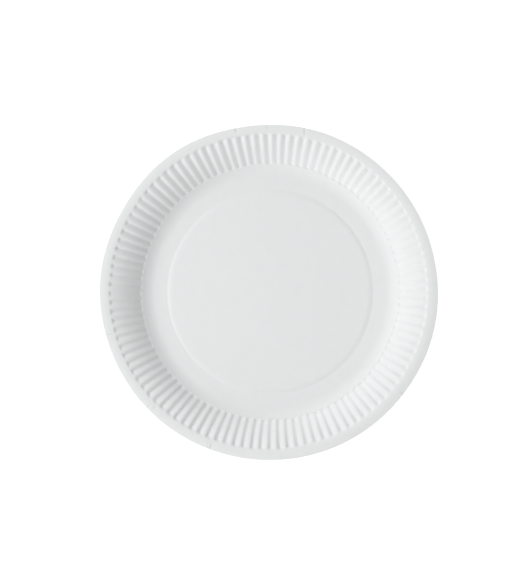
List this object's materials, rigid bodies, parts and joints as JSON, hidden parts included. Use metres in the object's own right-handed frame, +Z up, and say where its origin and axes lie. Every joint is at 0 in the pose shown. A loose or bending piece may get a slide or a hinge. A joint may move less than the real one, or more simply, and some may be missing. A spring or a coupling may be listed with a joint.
{
  "type": "paper plate",
  "caption": "Round white paper plate pressed from one sheet of board, with a crowned well, a flat foot ring, a wall of radial flutes and a smooth rolled lip.",
  "frame": {"origin": "centre of the plate, at the level of the surface that its foot ring stands on", "axes": "+Z up along the plate's axis, out of the dished side; X and Y lie in the plane of the foot ring, and +X is the right of the plate as seen from above"},
  "size_m": [0.23, 0.23, 0.0151],
  "materials": {
    "white_board": "matte"
  },
  "bodies": {
    "root": {"plate": "white_board"}
  },
  "joints": []
}
